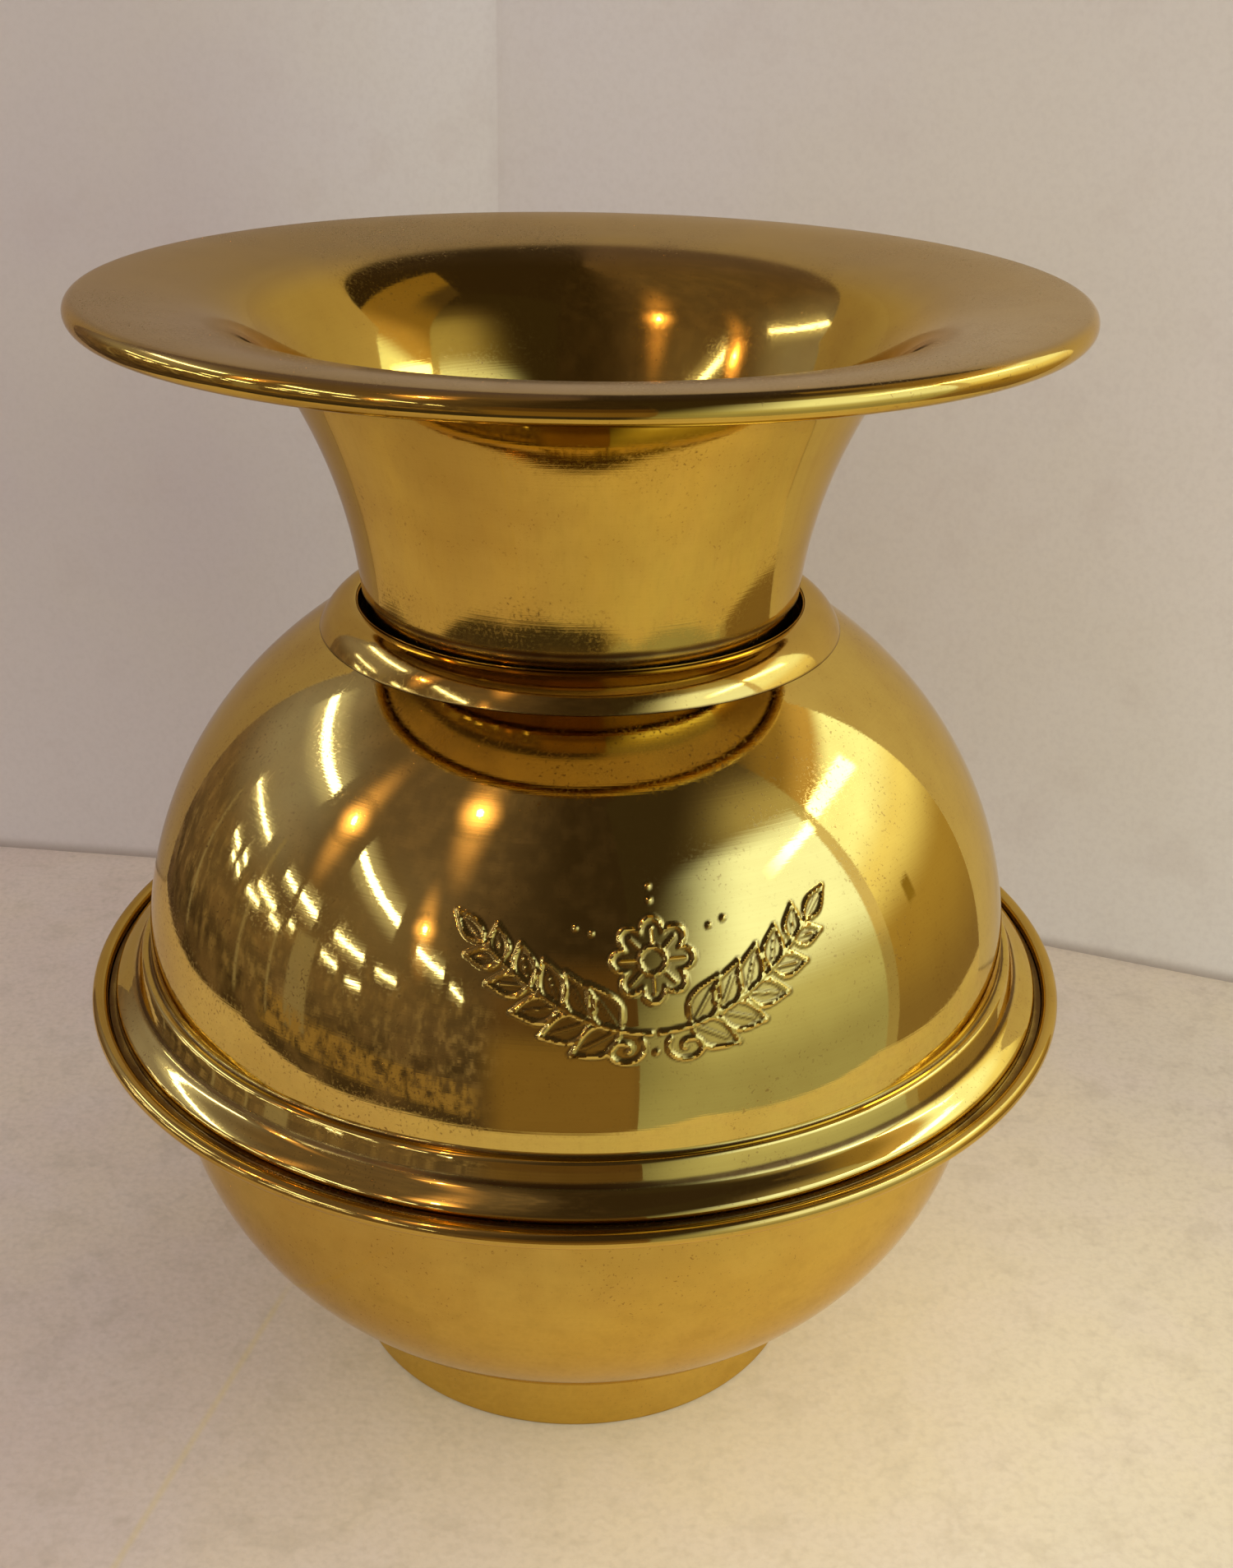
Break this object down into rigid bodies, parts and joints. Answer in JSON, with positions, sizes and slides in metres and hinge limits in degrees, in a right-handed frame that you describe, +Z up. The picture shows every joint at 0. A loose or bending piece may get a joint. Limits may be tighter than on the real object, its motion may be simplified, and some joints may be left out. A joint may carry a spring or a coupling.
{
  "type": "spittoon",
  "caption": "Round brass spittoon: weighted lower bowl on a foot ring, lift-off dome with a rolled brim and collar, and a lift-off flared mouth funnel.",
  "frame": {"origin": "centre of the flat face that the foot stands on", "axes": "+Z up along the axis that every piece is turned about; the ornamented side of the dome faces -Y"},
  "size_m": [0.2708, 0.2708, 0.305],
  "materials": {
    "polished_brass": "polished, with light scratches and brown patina in the seams",
    "dull_brass": "unpolished, tarnished",
    "cast_iron": "as cast"
  },
  "bodies": {
    "bowl": {"lower_bowl": "polished_brass", "foot_ring": "polished_brass", "base_plate": "dull_brass", "ballast": "cast_iron"},
    "dome": {"upper_dome": "polished_brass", "neck_collar": "polished_brass"},
    "funnel": {"mouth_funnel": "polished_brass", "neck_spigot": "dull_brass"}
  },
  "joints": [
    {"name": "dome_lift", "type": "slide", "parent": "bowl", "child": "dome", "axis": [0, 0, 1], "range_m": [0, 0.06]},
    {"name": "funnel_lift", "type": "slide", "parent": "dome", "child": "funnel", "axis": [0, 0, 1], "range_m": [0, 0.06]}
  ]
}
